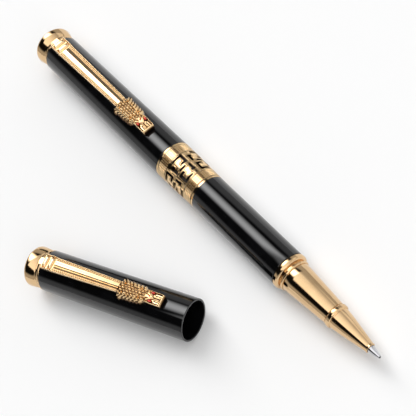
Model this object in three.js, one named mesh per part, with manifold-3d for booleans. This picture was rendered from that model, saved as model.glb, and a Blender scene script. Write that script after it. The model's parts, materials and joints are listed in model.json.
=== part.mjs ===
// A rollerball pen lying beside its loose cap.
// Millimetres, +Z up. Both lie on the plane Z = 0. The loose cap points along +X, mouth forward;
// the pen is turned about Z beside it, writing tip forward.
// Every sub-part is drawn along its own axis: x runs from the rear rim forward, z is up.
import * as THREE from 'three';
import { mergeVertices } from 'three/addons/utils/BufferGeometryUtils.js';
import Module from 'manifold-3d';

const wasm = await Module();
wasm.setup();

// Driving dimensions
const SHELL_RADIUS = 6.5;
const SHELL_WALL = 0.6;
const SHELL_BORE = SHELL_RADIUS - SHELL_WALL;
const GAP = 0.05;
const RUNNING_GAP = 0.15;

const PEN_TURN = THREE.MathUtils.degToRad(-24.8);
const PEN_REAR_TO_CAP_MOUTH = { x: -92.0, y: 74.7 };
const PEN_RIM_RADIUS = 6.95;
const CAP_RIM_RADIUS = 6.5;

// Stations along the pen, measured from its rear rim
const BAND_START = 70.3;
const BARREL_START = 88.0;
const NOSE_START = 124.6;
const TIP_END = 161.6;
const TAIL_REAR = 34.0;

// Radii along the pen
const BARREL_REAR_RADIUS = 6.12;
const BARREL_FRONT_RADIUS = 5.78;
const BARREL_BORE = 5.0;
const CORE_RADIUS = 5.5;
const CORE_BORE = 4.2;
const TAIL_RADIUS = SHELL_BORE - RUNNING_GAP;
const TAIL_BORE = 4.5;
const THREAD_RADIUS = 4.2;
const THREAD_BORE = 3.4;
const REFILL_RADIUS = 3.1;
const REFILL_BORE = 2.7;
const TIP_RADIUS = 1.15;
const BALL_RADIUS = 0.36;
const REFILL_LENGTH = 110.5;
const REFILL_REAR = TIP_END - REFILL_LENGTH;

// The two shells share one design and differ in length and in the scale of the clip's width
const PEN_SHELL = {
  prefix: 'rear',
  rimRadius: PEN_RIM_RADIUS,
  length: BAND_START - GAP,
  linerLength: 9.0,
  clipTurn: THREE.MathUtils.degToRad(-10),
  clip: { rear: 8.0, bar: 13.0, head: 45.4, end: 61.2, width: 1.0 },
};
const CAP_SHELL = {
  prefix: 'cap',
  rimRadius: CAP_RIM_RADIUS,
  length: 58.6,
  linerLength: 7.5,
  clipTurn: THREE.MathUtils.degToRad(-7),
  clip: { rear: 7.4, bar: 11.6, head: 35.6, end: 51.2, width: 0.9 },
};

// Finial and clip ring
const FINIAL_LENGTH = 4.9;
const RING_LENGTH = 1.25;
const TUBE_START = FINIAL_LENGTH + RING_LENGTH + 2 * GAP;
const FINIAL_NECK_RADIUS = 6.1;
const FINIAL_EDGE = 0.3;
const RIM_ROUNDING = 1.1;
const RING_RADIUS = 6.35;

// Clip heights above the axis
const CLIP_UNDERSIDE = 7.0;
const CLIP_BAR_TOP = 8.0;
const CLIP_RIB_TOP = 8.35;
const KNUCKLE_TOP = 8.6;

// Band fret: slots as [from, to] along the band and [from, to] round it, in one repeat
const FRET_REPEATS = 6;
const FRET_START = 4.55;
const FRET_LENGTH = 8.6;
const FRET_SLOTS = [
  [0.0, 0.8, -2.6, 1.0],
  [0.0, 3.4, -2.6, -1.8],
  [2.6, 3.4, -2.6, -0.4],
  [1.4, 2.2, 1.5, 3.0],
  [2.2, 4.0, 2.0, 2.8],
];
const FRET_WINDOW = [3.9, 4.7, -1.2, 1.2];

// Facets round a piece
const FINE = 24;
const MEDIUM = 16;
const COARSE = 12;

const FINISH = {
  gold: { color: 0xd9ae6a, roughness: 0.16, metalness: 1.0 },
  darkGold: { color: 0x9c6a2a, roughness: 0.3, metalness: 1.0 },
  lacquer: { color: 0x0b0b0d, roughness: 0.08, metalness: 0.0 },
  brass: { color: 0xb5904a, roughness: 0.35, metalness: 1.0 },
  steel: { color: 0xc6c8cc, roughness: 0.2, metalness: 1.0 },
  carbide: { color: 0x2a2a2e, roughness: 0.25, metalness: 1.0 },
  blackPlastic: { color: 0x17171a, roughness: 0.5, metalness: 0.0 },
  whitePlastic: { color: 0xe6e3da, roughness: 0.45, metalness: 0.0 },
  ink: { color: 0x16204a, roughness: 0.8, metalness: 0.0 },
  rubber: { color: 0x101011, roughness: 0.8, metalness: 0.0 },
  ruby: { color: 0xb01818, roughness: 0.1, metalness: 0.0 },
};

/** Gives six times the signed volume, which is negative when the faces point inwards. */
function signedVolume(geometry) {
  const position = geometry.attributes.position;
  const index = geometry.index;
  const corner = [new THREE.Vector3(), new THREE.Vector3(), new THREE.Vector3()];
  let volume = 0;
  for (let i = 0; i < index.count; i += 3) {
    corner.forEach((point, k) => point.fromBufferAttribute(position, index.getX(i + k)));
    volume += corner[0].dot(corner[1].clone().cross(corner[2]));
  }
  return volume;
}

/** Merges shared vertices, drops collapsed triangles and turns the faces outwards. */
function closed(geometry) {
  geometry.deleteAttribute('normal');
  geometry.deleteAttribute('uv');
  const merged = mergeVertices(geometry);
  const source = merged.index.array;
  const kept = [];
  for (let i = 0; i < source.length; i += 3) {
    const [a, b, c] = [source[i], source[i + 1], source[i + 2]];
    if (a !== b && b !== c && c !== a) kept.push(a, b, c);
  }
  merged.setIndex(kept);
  if (signedVolume(merged) < 0) {
    const flipped = [];
    for (let i = 0; i < kept.length; i += 3) flipped.push(kept[i], kept[i + 2], kept[i + 1]);
    merged.setIndex(flipped);
  }
  return merged;
}

/** Makes a solid that can be joined and cut from a closed geometry. */
function solid(geometry) {
  const body = closed(geometry);
  const mesh = new wasm.Mesh({
    numProp: 3,
    vertProperties: Float32Array.from(body.attributes.position.array),
    triVerts: Uint32Array.from(body.index.array),
  });
  return new wasm.Manifold(mesh);
}

/** Gives a joined or cut solid back as a geometry. */
function geometryOf(manifold) {
  const mesh = manifold.getMesh();
  const geometry = new THREE.BufferGeometry();
  geometry.setAttribute('position', new THREE.BufferAttribute(Float32Array.from(mesh.vertProperties), 3));
  geometry.setIndex(Array.from(mesh.triVerts));
  return geometry;
}

/** Turns an outline of [x along the axis, radius] points round the axis. */
function turned(outline, segments = FINE) {
  const points = outline.map(([x, radius]) => new THREE.Vector2(radius, x));
  const geometry = new THREE.LatheGeometry(points, segments);
  geometry.rotateZ(-Math.PI / 2);
  return closed(geometry);
}

/** Turns a ring or tube outline, which is closed on itself. */
function turnedRing(outline, segments = FINE) {
  return turned([...outline, outline[0]], segments);
}

/** A plain tube. */
function tube(start, end, outer, bore, segments = FINE) {
  return turnedRing([[start, bore], [end, bore], [end, outer], [start, outer]], segments);
}

/** Points of an arc from one angle to another, in degrees, in the [x, radius] plane. */
function arc(x, radius, size, from, to, steps, stretch = 1) {
  return Array.from({ length: steps + 1 }, (_, i) => {
    const angle = THREE.MathUtils.degToRad(from + ((to - from) * i) / steps);
    return [x + stretch * size * Math.cos(angle), radius + size * Math.sin(angle)];
  });
}

/** A box from its low and high corners. */
function block(x0, x1, y0, y1, z0, z1) {
  const geometry = new THREE.BoxGeometry(x1 - x0, y1 - y0, z1 - z0);
  geometry.translate((x0 + x1) / 2, (y0 + y1) / 2, (z0 + z1) / 2);
  return geometry;
}

/** A closed outline in plan, pulled up from one height to another with bevelled edges. */
function raised(points, low, high, bevel) {
  const shape = new THREE.Shape(points.map(([x, y]) => new THREE.Vector2(x, y)));
  const geometry = new THREE.ExtrudeGeometry(shape, {
    depth: high - low - 2 * bevel,
    bevelEnabled: bevel > 0,
    bevelThickness: bevel,
    bevelSize: bevel,
    bevelOffset: -bevel,
    bevelSegments: 1,
  });
  geometry.translate(0, 0, low + bevel);
  return geometry;
}

/** An ellipsoid. */
function stone(x, y, z, length, width, height) {
  const geometry = new THREE.SphereGeometry(1, 8, 6);
  geometry.scale(length / 2, width / 2, height / 2);
  geometry.translate(x, y, z);
  return geometry;
}

/** A named mesh with a material of its own. */
function piece(name, geometry, finish) {
  const mesh = new THREE.Mesh(geometry, new THREE.MeshStandardMaterial(FINISH[finish]));
  mesh.name = name;
  return mesh;
}

const SCREW_RADIUS = 1.2;
const SCREW_HOLE = SCREW_RADIUS + GAP;
const SCREW_HOLE_FLOOR = 2.3;

/** Finial: flat end, round rear rim, flare from the neck, blind screw hole in front. */
function finial(rimRadius) {
  return turned([
    [0, 0],
    ...arc(RIM_ROUNDING, rimRadius - RIM_ROUNDING, RIM_ROUNDING, 180, 90, 4),
    [FINIAL_LENGTH - FINIAL_EDGE, FINIAL_NECK_RADIUS],
    [FINIAL_LENGTH, FINIAL_NECK_RADIUS - FINIAL_EDGE],
    [FINIAL_LENGTH, SCREW_HOLE],
    [SCREW_HOLE_FLOOR, SCREW_HOLE],
    [SCREW_HOLE_FLOOR, 0],
  ]);
}

/** Clip ring: a rounded washer between finial and tube, with a tongue that holds the clip. */
function clipRing(turn) {
  const start = FINIAL_LENGTH + GAP;
  const end = start + RING_LENGTH;
  const round = 0.3;
  const ring = turnedRing([
    [start, SCREW_HOLE],
    [end, SCREW_HOLE],
    ...arc(end - round, RING_RADIUS - round, round, 0, 90, 3),
    ...arc(start + round, RING_RADIUS - round, round, 90, 180, 3),
  ]);
  const tongue = block(start + 0.3, TUBE_START + 2.9, -1.1, 1.1, SHELL_RADIUS + 0.1, SHELL_RADIUS + 0.7);
  const root = block(start + 0.3, end - 0.2, -1.1, 1.1, RING_RADIUS - 1, SHELL_RADIUS + 0.7);
  const lug = solid(tongue).add(solid(root)).rotate([THREE.MathUtils.radToDeg(turn), 0, 0]);
  return geometryOf(solid(ring).add(lug));
}

/** Plastic inner liner: a cup whose floor takes the finial's screw. */
const LINER_FLOOR = 1.8;
function liner(length) {
  const start = TUBE_START + GAP;
  const outer = SHELL_BORE - GAP;
  const wall = 0.55;
  return turnedRing([
    [start, SCREW_HOLE],
    [start + LINER_FLOOR, SCREW_HOLE],
    [start + LINER_FLOOR, outer - wall],
    [start + length, outer - wall],
    [start + length, outer],
    [start, outer],
  ]);
}

/** Pan-head screw through liner floor and clip ring into the finial. */
function finialScrew() {
  const head = TUBE_START + GAP + LINER_FLOOR + GAP;
  const headRadius = 2.3;
  const headSide = 0.5;
  const dome = 0.35;
  return turned([
    [SCREW_HOLE_FLOOR + RUNNING_GAP, 0],
    [SCREW_HOLE_FLOOR + RUNNING_GAP, SCREW_RADIUS],
    [head, SCREW_RADIUS],
    [head, headRadius],
    ...arc(head + headSide, 0, headRadius, 90, 0, 4, dome).slice(0, -1),
    [head + headSide + dome * headRadius, 0],
  ], MEDIUM);
}

/** Lacquered shell tube with a softened mouth. */
function shellTube(length) {
  const lip = 0.12;
  return turnedRing([
    [TUBE_START, SHELL_BORE],
    [length, SHELL_BORE],
    [length, SHELL_RADIUS - lip],
    [length - lip, SHELL_RADIUS],
    [TUBE_START + lip, SHELL_RADIUS],
    [TUBE_START, SHELL_RADIUS - lip],
  ]);
}

/** Clip bar with its knuckle block, raised centre rib and a notch for the ring's tongue. */
function clipBar(clip) {
  const w = clip.width;
  const knuckle = raised([
    [clip.rear, -2.7 * w], [clip.bar, -2.7 * w], [clip.bar, 2.7 * w], [clip.rear, 2.7 * w],
  ], CLIP_UNDERSIDE - 0.25, KNUCKLE_TOP, 0.3);
  const overlap = 0.5;
  const bar = raised([
    [clip.bar - overlap, -2.6 * w],
    [clip.head + overlap, -2.0 * w],
    [clip.head + overlap, 2.0 * w],
    [clip.bar - overlap, 2.6 * w],
  ], CLIP_UNDERSIDE, CLIP_BAR_TOP, 0.15);
  const rib = raised([
    [clip.bar - overlap, -0.95 * w],
    [clip.head + overlap, -0.75 * w],
    [clip.head + overlap, 0.75 * w],
    [clip.bar - overlap, 0.95 * w],
  ], CLIP_UNDERSIDE + 0.2, CLIP_RIB_TOP, 0.15);
  const notch = block(clip.rear - 1, TUBE_START + 3.3, -1.4, 1.4, 0, SHELL_RADIUS + 1.0);
  const groove = block(clip.rear + 2.3, clip.rear + 2.9, -4, 4, KNUCKLE_TOP - 0.4, KNUCKLE_TOP + 1);
  const underside = turned([
    [0, 0], [0, SHELL_RADIUS + 0.3], [clip.end, SHELL_RADIUS + 0.3], [clip.end, 0],
  ]);
  const body = solid(knuckle).add(solid(bar)).add(solid(rib));
  const headRoom = block(clip.head + GAP, clip.end + 1, -4, 4, 0, 12);
  return geometryOf(body.subtract(solid(notch)).subtract(solid(groove))
    .subtract(solid(underside)).subtract(solid(headRoom)));
}

/** Places along the head, as distances from its rear, shared by the head and its stones. */
const EYE_PLACE = 11.9;
const EYE_SIDE = 1.45;
const EYE_HEIGHT = 8.75;
const EYE_SIZE = [1.6, 0.95, 0.95];
const BROW_STONE = { place: 11.6, height: 9.35, size: 0.6 };

/** Dragon head on the clip's end: mane, brow, snout, crest and a small foot under the chin. */
function dragonHead(clip) {
  const w = clip.width;
  const at = (place) => clip.head + 2 * GAP + place;
  const last = clip.end - clip.head - 2 * GAP;
  const mirrored = (half) => [
    ...half.map(([x, y]) => [at(x), y * w]),
    ...half.slice().reverse().map(([x, y]) => [at(x), -y * w]),
  ];
  const mane = raised(mirrored([[0, 2.2], [1.3, 3.1], [3.4, 3.0], [5.6, 2.95], [7.8, 2.75], [10.4, 2.5]]),
    CLIP_UNDERSIDE, 8.9, 0.35);
  const snout = raised(mirrored([[9.4, 2.45], [12, 2.4], [last - 0.7, 2.3], [last, 1.6]]),
    CLIP_UNDERSIDE, 8.6, 0.3);
  const crest = raised(mirrored([[0.3, 0.6], [4, 0.9], [9, 0.8], [12.5, 0.55], [last - 0.8, 0.5]]),
    CLIP_UNDERSIDE + 0.5, 9.6, 0.3);
  const foot = raised(mirrored([[last - 2.6, 1.1], [last - 1.0, 1.1]]),
    SHELL_RADIUS + 0.15, CLIP_UNDERSIDE + 0.6, 0.1);
  let body = solid(mane).add(solid(snout)).add(solid(crest));
  const sides = [-1, 1];
  for (const side of sides) {
    const brow = stone(at(EYE_PLACE - 0.5), side * EYE_SIDE * w, 8.55, 2.8, 1.9 * w, 1.7);
    const nostril = stone(at(last - 1.3), side * 1.2 * w, 8.55, 1.6, 1.2 * w, 0.9);
    const horn = stone(at(6.2), side * 1.6 * w, 8.95, 6.4, 0.8 * w, 0.9);
    body = body.add(solid(brow)).add(solid(nostril)).add(solid(horn));
  }
  const underside = turned([
    [0, 0], [0, SHELL_RADIUS + 0.35], [clip.end + 1, SHELL_RADIUS + 0.35], [clip.end + 1, 0],
  ]);
  body = body.subtract(solid(underside)).add(solid(foot));
  const room = 2 * GAP;
  for (const side of sides) {
    const socket = stone(at(EYE_PLACE), side * EYE_SIDE * w, EYE_HEIGHT, ...EYE_SIZE.map((s) => s + room));
    body = body.subtract(solid(socket));
  }
  const { place, height, size } = BROW_STONE;
  const socket = stone(at(place), 0, height, size + room, size + room, size + room);
  return geometryOf(body.subtract(solid(socket)));
}

/** One shell: finial, clip ring, screw, liner, tube and the clip with its head and stones. */
function shell(spec) {
  const group = new THREE.Group();
  const name = (part) => `${spec.prefix}_${part}`;
  group.add(
    piece(name('finial'), finial(spec.rimRadius), 'gold'),
    piece(name('clip_ring'), clipRing(spec.clipTurn), 'gold'),
    piece(name('finial_screw'), finialScrew(), 'steel'),
    piece(name('inner_liner'), liner(spec.linerLength), 'blackPlastic'),
    piece(name('shell_tube'), shellTube(spec.length), 'lacquer'),
  );
  const clip = new THREE.Group();
  clip.rotation.x = spec.clipTurn;
  const eyeX = spec.clip.head + 2 * GAP + EYE_PLACE;
  const eyeY = EYE_SIDE * spec.clip.width;
  const browX = spec.clip.head + 2 * GAP + BROW_STONE.place;
  const browSize = BROW_STONE.size;
  clip.add(
    piece(name('clip_bar'), clipBar(spec.clip), 'gold'),
    piece(name('dragon_head'), dragonHead(spec.clip), 'gold'),
    piece(name('left_eye'), closed(stone(eyeX, eyeY, EYE_HEIGHT, ...EYE_SIZE)), 'ruby'),
    piece(name('right_eye'), closed(stone(eyeX, -eyeY, EYE_HEIGHT, ...EYE_SIZE)), 'ruby'),
    piece(name('brow_stone'),
      closed(stone(browX, 0, BROW_STONE.height, browSize, browSize, browSize)), 'ruby'),
  );
  group.add(clip);
  return group;
}

/** Band core: tube under the carved band, with a spigot into the tail and one into the barrel. */
function bandCore() {
  return turnedRing([
    [BAND_START - 8, CORE_BORE - 0.6],
    [BARREL_START + 8, CORE_BORE - 0.6],
    [BARREL_START + 8, BARREL_BORE - GAP],
    [BARREL_START - GAP, BARREL_BORE - GAP],
    [BARREL_START - GAP, CORE_RADIUS],
    [BAND_START, CORE_RADIUS],
    [BAND_START, TAIL_BORE - GAP],
    [BAND_START - 8, TAIL_BORE - GAP],
  ]);
}

/** Carved band: a sleeve with plain rims, pierced all through with a key fret. */
function carvedBand() {
  const start = BAND_START + GAP;
  const end = BARREL_START - GAP;
  const rim = 0.7;
  const relief = 0.12;
  const radiusAt = (x) => THREE.MathUtils.mapLinear(x, start, end, SHELL_RADIUS, BARREL_REAR_RADIUS);
  const bore = CORE_RADIUS + GAP;
  const sleeve = turnedRing([
    [start, bore],
    [end, bore],
    [end, radiusAt(end)],
    [end - rim, radiusAt(end - rim)],
    [end - rim, radiusAt(end - rim) - relief],
    [start + rim, radiusAt(start + rim) - relief],
    [start + rim, radiusAt(start + rim)],
    [start, radiusAt(start)],
  ]);
  const half = FRET_SLOTS.map(([v0, v1, u0, u1]) => [FRET_LENGTH - v1, FRET_LENGTH - v0, -u1, -u0]);
  const slots = [...FRET_SLOTS, ...half, FRET_WINDOW];
  let cutter = null;
  for (let repeat = 0; repeat < FRET_REPEATS; repeat += 1) {
    for (const [v0, v1, u0, u1] of slots) {
      const x0 = BAND_START + FRET_START + v0;
      const middle = (u0 + u1) / 2 / SHELL_RADIUS;
      const width = (u1 - u0) / 2;
      const slot = block(x0, x0 + v1 - v0, -width, width, bore - 0.5, SHELL_RADIUS + 0.5);
      slot.rotateX((repeat * 2 * Math.PI) / FRET_REPEATS + middle);
      cutter = cutter ? cutter.add(solid(slot)) : solid(slot);
    }
  }
  return geometryOf(solid(sleeve).subtract(cutter));
}

/** Tail tube that the rear shell slides over. */
function tailTube() {
  return tube(TAIL_REAR, BAND_START - GAP, TAIL_RADIUS, TAIL_BORE);
}

/** Plug that closes the tail and seats the refill spring. */
function tailPlug() {
  const seat = TAIL_REAR + 5;
  return turned([
    [TAIL_REAR - 1.2, 0],
    [TAIL_REAR - 1.2, TAIL_RADIUS - 0.3],
    [TAIL_REAR - 0.9, TAIL_RADIUS],
    [TAIL_REAR - GAP, TAIL_RADIUS],
    [TAIL_REAR - GAP, TAIL_BORE - GAP],
    [seat, TAIL_BORE - GAP],
    [seat, 1.2],
    [seat + 3, 1.2],
    [seat + 3, 0],
  ]);
}

/** Front barrel: lacquered brass tube, tapering forward. */
function frontBarrel() {
  return turnedRing([
    [BARREL_START + GAP, BARREL_BORE],
    [NOSE_START - GAP, BARREL_BORE],
    [NOSE_START - GAP, BARREL_FRONT_RADIUS],
    [BARREL_START + GAP, BARREL_REAR_RADIUS],
  ]);
}

/** Threaded bush in the barrel's mouth. */
function barrelInsert() {
  return tube(NOSE_START - 11, NOSE_START - 1.3, BARREL_BORE - GAP, THREAD_RADIUS + 0.1);
}

/** Rubber ring between barrel and nose section. */
function sectionSeal() {
  const thick = 0.28;
  return turnedRing(arc(NOSE_START - 0.75, THREAD_RADIUS + 0.1 + thick, thick, 0, 315, 7), MEDIUM);
}

/** Nose trim ring: wide, with a full round front edge. */
const NOSE_RING_LENGTH = 1.9;
const SHOULDER_END = 3.3;
function noseRing() {
  const start = NOSE_START + GAP;
  const end = NOSE_START + NOSE_RING_LENGTH;
  const top = BARREL_FRONT_RADIUS + 0.06;
  const round = 0.75;
  return turnedRing([
    [start, THREAD_RADIUS + GAP],
    [end, THREAD_RADIUS + GAP],
    ...arc(end - round, top - round, round, 0, 90, 4),
    [start + 0.15, top],
    [start, top - 0.15],
  ]);
}

/** Shoulder ring: a groove, then a small bead in front of it. */
function shoulderRing() {
  const start = NOSE_START + NOSE_RING_LENGTH + GAP;
  const end = NOSE_START + SHOULDER_END;
  const bead = 0.42;
  const beadMiddle = end - bead;
  return turnedRing([
    [start, THREAD_RADIUS + GAP],
    [end, THREAD_RADIUS + GAP],
    ...arc(beadMiddle, 4.8, bead, 0, 180, 4),
    [start, 4.7],
  ]);
}

// Grip section and nose cone, measured back from the tip's end
const GRIP_FRONT = TIP_END - 17.85;
const CONE_REAR = TIP_END - 15.95;
const CONE_FRONT = TIP_END - 3.7;
const SPIGOT_RADIUS = 2.75;
const COLLAR_RADIUS = 2.1;

/** Grip section: long smooth taper. */
function gripSection() {
  const start = NOSE_START + SHOULDER_END + GAP;
  const outline = [[28.8, 4.5], [24.7, 4.18], [20.8, 3.87], [18.4, 3.66]];
  return turnedRing([
    [start, THREAD_RADIUS + GAP],
    [start + 4, THREAD_RADIUS + GAP],
    [start + 4, REFILL_RADIUS + 0.2],
    [GRIP_FRONT - 5, REFILL_RADIUS + 0.2],
    [GRIP_FRONT - 4, SPIGOT_RADIUS + GAP],
    [GRIP_FRONT, SPIGOT_RADIUS + GAP],
    [GRIP_FRONT, 3.6],
    ...outline.slice().reverse().map(([back, radius]) => [TIP_END - back, radius]),
    [start, 4.88],
  ]);
}

/** Threaded sleeve that screws into the barrel's bush; the thread is drawn as plain ridges. */
function sectionThread() {
  const start = NOSE_START - 8;
  const end = NOSE_START + SHOULDER_END + 3.5;
  const pitch = 1.6;
  const depth = 0.25;
  const ridges = [];
  for (let i = 3; i >= 0; i -= 1) {
    const x = start + 0.4 + i * pitch;
    ridges.push([x + 1.1, THREAD_RADIUS], [x + 0.8, THREAD_RADIUS - depth]);
    ridges.push([x + 0.3, THREAD_RADIUS - depth], [x, THREAD_RADIUS]);
  }
  return turnedRing([
    [start, THREAD_BORE],
    [end, THREAD_BORE],
    [end, THREAD_RADIUS],
    ...ridges,
    [start, THREAD_RADIUS - depth],
  ]);
}

/** Bead between grip section and nose cone. */
function midRing() {
  const start = GRIP_FRONT + GAP;
  const end = CONE_REAR - GAP;
  const round = 0.3;
  return turnedRing([
    [start, SPIGOT_RADIUS + GAP],
    [end, SPIGOT_RADIUS + GAP],
    [end, 3.45],
    ...arc(end - round, 3.76 - round, round, 0, 90, 3),
    [start, 3.62],
  ]);
}

/** Nose cone: slightly bowed cone with a spigot behind and a small lip at the hole. */
function noseCone() {
  const outline = [[12.8, 3.04], [8.9, 2.35], [6.6, 1.93], [4.6, 1.55], [4.1, 1.52]];
  const hole = TIP_RADIUS + 0.12;
  const cone = COLLAR_RADIUS + 0.12;
  return turnedRing([
    [GRIP_FRONT - 3.5, cone],
    [TIP_END - 10.6, cone],
    [TIP_END - 8.2, hole],
    [CONE_FRONT, hole],
    [CONE_FRONT, 1.42],
    ...outline.slice().reverse().map(([back, radius]) => [TIP_END - back, radius]),
    [CONE_REAR, 3.42],
    [CONE_REAR, SPIGOT_RADIUS],
    [GRIP_FRONT - 3.5, SPIGOT_RADIUS],
  ]);
}

/** Refill tube, open at both ends for its plug and its collar. */
function refillTube() {
  return tube(REFILL_REAR + 1.2, TIP_END - 26, REFILL_RADIUS, REFILL_BORE, MEDIUM);
}

/** Plug in the refill's rear end. */
function refillPlug() {
  return turned([
    [REFILL_REAR, 0],
    [REFILL_REAR, REFILL_RADIUS - 0.4],
    [REFILL_REAR + 0.4, REFILL_RADIUS],
    [REFILL_REAR + 1.2 - GAP, REFILL_RADIUS],
    [REFILL_REAR + 1.2 - GAP, REFILL_BORE - GAP],
    [REFILL_REAR + 5, REFILL_BORE - GAP],
    [REFILL_REAR + 5, 0],
  ], MEDIUM);
}

/** Ink-soaked fibre rod inside the refill. */
function inkCore() {
  const radius = REFILL_BORE - RUNNING_GAP;
  return turned([
    [REFILL_REAR + 7, 0],
    [REFILL_REAR + 7, radius],
    [TIP_END - 32, radius],
    [TIP_END - 32, 0],
  ], MEDIUM);
}

/** Plastic collar that carries the steel tip. */
function refillCollar() {
  const hole = TIP_RADIUS + GAP;
  return turnedRing([
    [TIP_END - 30, hole],
    [TIP_END - 8.9, hole],
    [TIP_END - 9.3, hole + 0.3],
    [TIP_END - 11.0, COLLAR_RADIUS],
    [TIP_END - 21.6, COLLAR_RADIUS],
    [TIP_END - 23.4, REFILL_RADIUS - 0.25],
    [TIP_END - 24, REFILL_RADIUS],
    [TIP_END - 26 + GAP, REFILL_RADIUS],
    [TIP_END - 26 + GAP, REFILL_BORE - GAP],
    [TIP_END - 30, REFILL_BORE - GAP],
  ], MEDIUM);
}

/** Steel tip with the socket that holds the writing ball. */
function refillTip() {
  const socket = BALL_RADIUS + 0.04;
  return turned([
    [TIP_END - 28, 0],
    [TIP_END - 28, TIP_RADIUS],
    [TIP_END - 3.2, TIP_RADIUS],
    [TIP_END - 2.95, TIP_RADIUS - 0.12],
    [TIP_END - 1.6, 0.82],
    [TIP_END - 0.32, 0.45],
    [TIP_END - 0.32, socket],
    [TIP_END - 0.95, socket],
    [TIP_END - 0.95, 0],
  ], COARSE);
}

/** Writing ball. */
function writingBall() {
  const geometry = new THREE.SphereGeometry(BALL_RADIUS, 12, 8);
  geometry.translate(TIP_END - BALL_RADIUS, 0, 0);
  return closed(geometry);
}

/** A helix along x. */
class Helix extends THREE.Curve {
  constructor(start, end, radius, turns) {
    super();
    Object.assign(this, { start, end, radius, turns });
  }

  getPoint(t, target = new THREE.Vector3()) {
    const angle = 2 * Math.PI * this.turns * t;
    const x = THREE.MathUtils.lerp(this.start, this.end, t);
    return target.set(x, this.radius * Math.cos(angle), this.radius * Math.sin(angle));
  }
}

/** Coil spring between tail plug and refill. */
function refillSpring() {
  const wire = 0.25;
  const turns = 5;
  const section = new THREE.Shape().absarc(0, 0, wire, 0, 2 * Math.PI);
  const start = TAIL_REAR + 5 + wire + RUNNING_GAP;
  const end = REFILL_REAR - wire - RUNNING_GAP;
  const path = new Helix(start, end, 2.2, turns);
  return closed(new THREE.ExtrudeGeometry(section, {
    steps: 10 * turns,
    curveSegments: 3,
    bevelEnabled: false,
    extrudePath: path,
  }));
}

const pen = new THREE.Group();
pen.add(
  shell(PEN_SHELL),
  piece('band_core', bandCore(), 'lacquer'),
  piece('carved_band', carvedBand(), 'gold'),
  piece('tail_tube', tailTube(), 'blackPlastic'),
  piece('tail_plug', tailPlug(), 'blackPlastic'),
  piece('front_barrel', frontBarrel(), 'lacquer'),
  piece('barrel_insert', barrelInsert(), 'brass'),
  piece('section_seal', sectionSeal(), 'rubber'),
  piece('nose_ring', noseRing(), 'gold'),
  piece('shoulder_ring', shoulderRing(), 'darkGold'),
  piece('grip_section', gripSection(), 'gold'),
  piece('section_thread', sectionThread(), 'brass'),
  piece('mid_ring', midRing(), 'gold'),
  piece('nose_cone', noseCone(), 'gold'),
  piece('refill_tube', refillTube(), 'steel'),
  piece('refill_plug', refillPlug(), 'whitePlastic'),
  piece('refill_ink_core', inkCore(), 'ink'),
  piece('refill_collar', refillCollar(), 'whitePlastic'),
  piece('refill_tip', refillTip(), 'steel'),
  piece('writing_ball', writingBall(), 'carbide'),
  piece('refill_spring', refillSpring(), 'steel'),
);

// The pen lies on its flared rear rim and on the front edge of its rear shell, so its nose dips
const pitch = Math.atan((PEN_RIM_RADIUS - SHELL_RADIUS) / (PEN_SHELL.length - RIM_ROUNDING));
const rearHeight = SHELL_RADIUS * Math.cos(pitch) + PEN_SHELL.length * Math.sin(pitch);
pen.rotation.set(0, pitch, PEN_TURN, 'ZYX');
pen.position.set(PEN_REAR_TO_CAP_MOUTH.x, PEN_REAR_TO_CAP_MOUTH.y, rearHeight);

const cap = shell(CAP_SHELL);
cap.position.set(-CAP_SHELL.length, 0, SHELL_RADIUS);

// The origin is the middle of the assembly's footprint, on the plane that it lies on
const assembly = new THREE.Group();
assembly.add(pen, cap);
assembly.updateMatrixWorld(true);
const extent = new THREE.Box3().setFromObject(assembly, true);
const middle = extent.getCenter(new THREE.Vector3());
assembly.position.set(-middle.x, -middle.y, -extent.min.z);

export default assembly;
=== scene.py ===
"""A rollerball pen lying beside its loose cap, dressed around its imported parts.

Each sub-assembly is a class. Its sizes are millimetres along its own axis: x runs from the rear rim forward,
z is up and y lies across. Placing a piece turns millimetres into metres in the shared frame.
"""

import json
import logging
import math
from dataclasses import dataclass, field
from enum import Enum
from typing import Callable, Iterable, Sequence

import bmesh
import bpy
import numpy as np
from mathutils import Matrix, Vector


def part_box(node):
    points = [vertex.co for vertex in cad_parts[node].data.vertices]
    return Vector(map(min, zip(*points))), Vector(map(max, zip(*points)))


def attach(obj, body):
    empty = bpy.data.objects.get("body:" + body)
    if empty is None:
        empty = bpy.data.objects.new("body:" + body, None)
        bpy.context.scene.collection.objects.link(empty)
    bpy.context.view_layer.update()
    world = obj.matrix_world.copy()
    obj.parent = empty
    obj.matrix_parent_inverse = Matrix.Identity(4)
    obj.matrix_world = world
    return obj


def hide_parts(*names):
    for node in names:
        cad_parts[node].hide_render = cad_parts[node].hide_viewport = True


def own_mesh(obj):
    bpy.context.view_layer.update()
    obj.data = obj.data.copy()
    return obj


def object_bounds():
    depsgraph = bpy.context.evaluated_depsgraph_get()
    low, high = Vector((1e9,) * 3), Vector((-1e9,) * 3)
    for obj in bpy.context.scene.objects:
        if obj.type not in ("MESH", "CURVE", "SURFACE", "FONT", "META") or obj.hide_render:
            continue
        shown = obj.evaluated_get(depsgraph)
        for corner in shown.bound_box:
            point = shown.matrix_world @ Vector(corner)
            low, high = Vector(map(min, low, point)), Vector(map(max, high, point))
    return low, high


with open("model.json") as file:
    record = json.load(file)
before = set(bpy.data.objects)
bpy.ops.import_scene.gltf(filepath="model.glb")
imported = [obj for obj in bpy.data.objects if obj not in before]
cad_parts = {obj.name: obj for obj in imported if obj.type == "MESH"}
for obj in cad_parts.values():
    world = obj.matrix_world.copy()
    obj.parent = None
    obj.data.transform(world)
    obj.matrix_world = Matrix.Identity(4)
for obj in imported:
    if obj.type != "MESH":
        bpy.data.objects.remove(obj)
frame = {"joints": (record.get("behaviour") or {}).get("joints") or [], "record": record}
CAD_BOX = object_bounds()

LOG = logging.getLogger("pen")
MM = 0.001
ROUND = 144

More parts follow.
